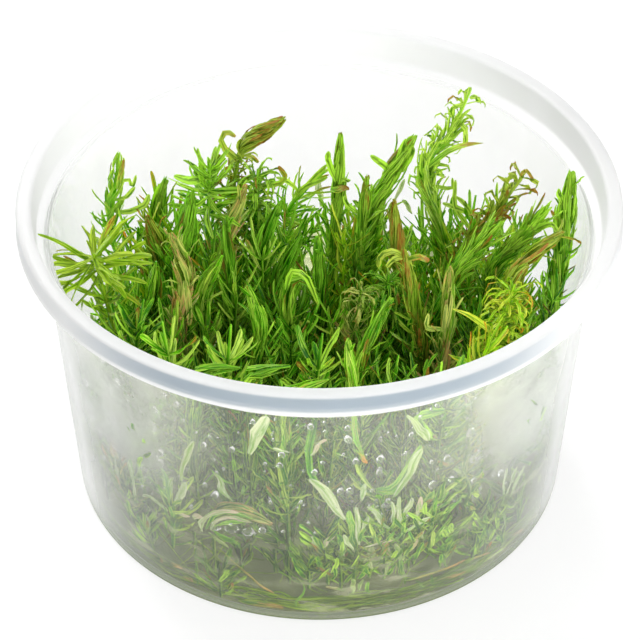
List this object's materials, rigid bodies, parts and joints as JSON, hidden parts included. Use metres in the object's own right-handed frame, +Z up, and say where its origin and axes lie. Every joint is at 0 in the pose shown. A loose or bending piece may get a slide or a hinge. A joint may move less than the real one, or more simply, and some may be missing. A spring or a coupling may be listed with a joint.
{
  "type": "tissue culture cup of long leaf rotala",
  "caption": "Round clear cup with a clear gel base that holds upright shoots of long leaf rotala, an aquarium stem plant.",
  "frame": {"origin": "middle of the cup's underside", "axes": "+Z up, out of the cup's mouth; -Y faces the pictured side"},
  "size_m": [0.1004, 0.1004, 0.0637],
  "materials": {
    "clear_cup": "slightly frosted clear plastic",
    "clear_gel": "clear wet gel",
    "leaf_green": "satin",
    "leaf_bright": "satin",
    "leaf_brown": "satin",
    "leaf_tan": "satin"
  },
  "bodies": {
    "root": {"cup": "clear_cup", "culture_gel": "clear_gel", "tuft_shoot": "leaf_bright", "curved_leaf_shoot": "leaf_green", "back_whorl_shoot": "leaf_green", "twin_head_shoot": "leaf_brown", "round_head_shoot": "leaf_green", "back_sprig_shoot": "leaf_bright", "tall_spindle_shoot": "leaf_green", "short_spindle_shoot": "leaf_green", "leaning_shoot": "leaf_green", "tallest_shoot": "leaf_bright", "right_sprig_shoot": "leaf_bright", "twisted_shoot": "leaf_brown", "brush_head_shoot": "leaf_green", "brown_bundle_shoot": "leaf_brown", "wall_spindle_shoot": "leaf_green", "middle_brush_shoot": "leaf_green", "brown_tip_shoot": "leaf_brown", "curled_head_shoot": "leaf_brown", "tan_spindle_shoot": "leaf_tan", "green_spindle_shoot": "leaf_green", "front_spindle_shoot": "leaf_bright", "bushy_shoot": "leaf_bright", "yellow_whorl_shoot": "leaf_bright", "centre_spindle_shoot": "leaf_green", "arch_shoot": "leaf_green", "dark_leaf_shoot": "leaf_green", "dark_spindle_shoot": "leaf_green", "dark_tall_shoot": "leaf_green", "streaked_shoot": "leaf_tan", "left_dark_shoot": "leaf_green", "withered_shoot": "leaf_tan", "bright_leaf_shoot": "leaf_bright", "slim_shoot": "leaf_green", "front_whorl_shoot": "leaf_bright", "left_front_shoot": "leaf_bright", "lying_left_shoot": "leaf_green", "lying_middle_shoot": "leaf_green", "lying_right_shoot": "leaf_bright", "star_shoot": "leaf_bright", "left_whorl_shoot": "leaf_green", "left_round_shoot": "leaf_green", "right_low_shoot": "leaf_green", "pale_curl_shoot": "leaf_tan", "green_curl_shoot": "leaf_green", "middle_front_shoot": "leaf_green", "back_left_shoot": "leaf_brown", "fan_shoot": "leaf_bright", "right_plantlet": "leaf_green", "front_right_plantlet": "leaf_bright", "front_plantlet": "leaf_bright", "left_plantlet": "leaf_green", "bent_plantlet": "leaf_green"}
  },
  "joints": []
}
